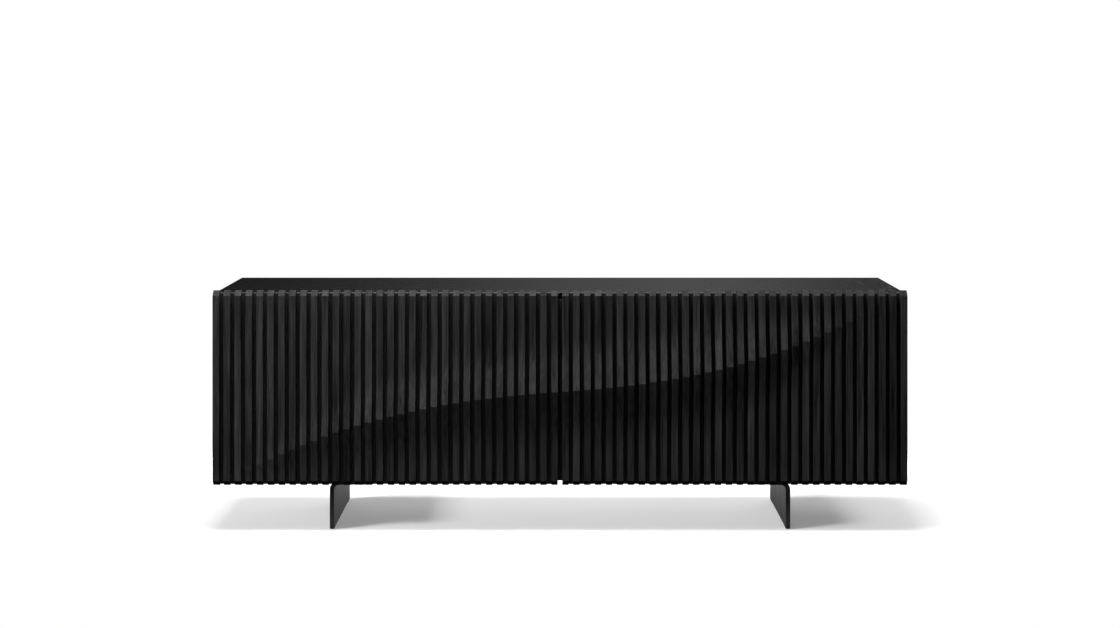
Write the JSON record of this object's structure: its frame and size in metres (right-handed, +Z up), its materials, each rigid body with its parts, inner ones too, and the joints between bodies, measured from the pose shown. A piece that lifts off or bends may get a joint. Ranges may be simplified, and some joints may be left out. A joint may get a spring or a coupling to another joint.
{
  "type": "sideboard buffet",
  "caption": "Long low sideboard with two wide hinged doors of vertical black slats whose crests draw one carved wave, on two bent steel plate legs.",
  "frame": {"origin": "on the floor under the middle of the bounding box", "axes": "+X along the length to the right seen from the front, doors face -Y, +Z up"},
  "size_m": [2.035, 0.528, 0.709],
  "materials": {
    "black_stained_oak": "open-grained oak stained black, matt lacquer",
    "black_satin_top": "black oak veneer with a smooth satin lacquer",
    "black_board": "black veneered board, satin",
    "black_back_board": "thin black-faced fibreboard, matt",
    "graphite_steel": "graphite powder coat, satin, fine texture",
    "black_bolt_steel": "blackened steel",
    "nickel_steel": "nickel-plated steel, satin",
    "zinc_cam": "die-cast zinc",
    "beech_dowel": "plain fluted beech",
    "black_plastic": "fine-textured moulded plastic"
  },
  "bodies": {
    "carcass": {"top_panel": "black_satin_top", "bottom_panel": "black_board", "left_side_panel": "black_board", "right_side_panel": "black_board", "centre_partition": "black_board", "left_back_panel": "black_back_board", "right_back_panel": "black_back_board", "left_shelf": "black_board", "right_shelf": "black_board", "shelf_pins": "nickel_steel", "left_leg": "graphite_steel", "right_leg": "graphite_steel", "left_leg_bolts": "black_bolt_steel", "right_leg_bolts": "black_bolt_steel", "left_leg_glides": "black_plastic", "right_leg_glides": "black_plastic", "carcass_dowels": "beech_dowel", "cam_bolts": "nickel_steel", "cam_discs": "zinc_cam", "back_panel_screws": "nickel_steel", "left_lower_hinge_arm": "nickel_steel", "left_middle_hinge_arm": "nickel_steel", "left_upper_hinge_arm": "nickel_steel", "left_lower_hinge_plate": "nickel_steel", "left_middle_hinge_plate": "nickel_steel", "left_upper_hinge_plate": "nickel_steel", "left_hinge_plate_screws": "nickel_steel", "left_latch_housing": "black_plastic", "right_lower_hinge_arm": "nickel_steel", "right_middle_hinge_arm": "nickel_steel", "right_upper_hinge_arm": "nickel_steel", "right_lower_hinge_plate": "nickel_steel", "right_middle_hinge_plate": "nickel_steel", "right_upper_hinge_plate": "nickel_steel", "right_hinge_plate_screws": "nickel_steel", "right_latch_housing": "black_plastic", "latch_screws": "nickel_steel"},
    "left_door": {"left_door_panel": "black_board", "left_door_slats_1": "black_stained_oak", "left_door_slats_2": "black_stained_oak", "left_door_slats_3": "black_stained_oak", "left_door_slats_4": "black_stained_oak", "left_lower_hinge_cup": "nickel_steel", "left_middle_hinge_cup": "nickel_steel", "left_upper_hinge_cup": "nickel_steel", "left_cup_screws": "nickel_steel", "left_strike_plate": "nickel_steel"},
    "right_door": {"right_door_panel": "black_board", "right_door_slats_1": "black_stained_oak", "right_door_slats_2": "black_stained_oak", "right_door_slats_3": "black_stained_oak", "right_door_slats_4": "black_stained_oak", "right_lower_hinge_cup": "nickel_steel", "right_middle_hinge_cup": "nickel_steel", "right_upper_hinge_cup": "nickel_steel", "right_cup_screws": "nickel_steel", "right_strike_plate": "nickel_steel"},
    "left_plunger": {"left_latch_plunger": "nickel_steel"},
    "right_plunger": {"right_latch_plunger": "nickel_steel"}
  },
  "joints": [
    {"name": "left_door_hinge", "type": "hinge", "parent": "carcass", "child": "left_door", "pos_m": [-1.0095, -0.2005, 0.4225], "axis": [0, 0, -1], "range_deg": [0, 95]},
    {"name": "right_door_hinge", "type": "hinge", "parent": "carcass", "child": "right_door", "pos_m": [1.0095, -0.2005, 0.4225], "axis": [0, 0, 1], "range_deg": [0, 95]},
    {"name": "left_plunger_slide", "type": "slide", "parent": "carcass", "child": "left_plunger", "axis": [0, -1, 0], "range_m": [0, 0.012]},
    {"name": "right_plunger_slide", "type": "slide", "parent": "carcass", "child": "right_plunger", "axis": [0, -1, 0], "range_m": [0, 0.012]}
  ],
  "couplings": [
    {"joint": "left_plunger_slide", "follows": "left_door_hinge", "m_per_rad": 0.00723},
    {"joint": "right_plunger_slide", "follows": "right_door_hinge", "m_per_rad": 0.00723}
  ]
}
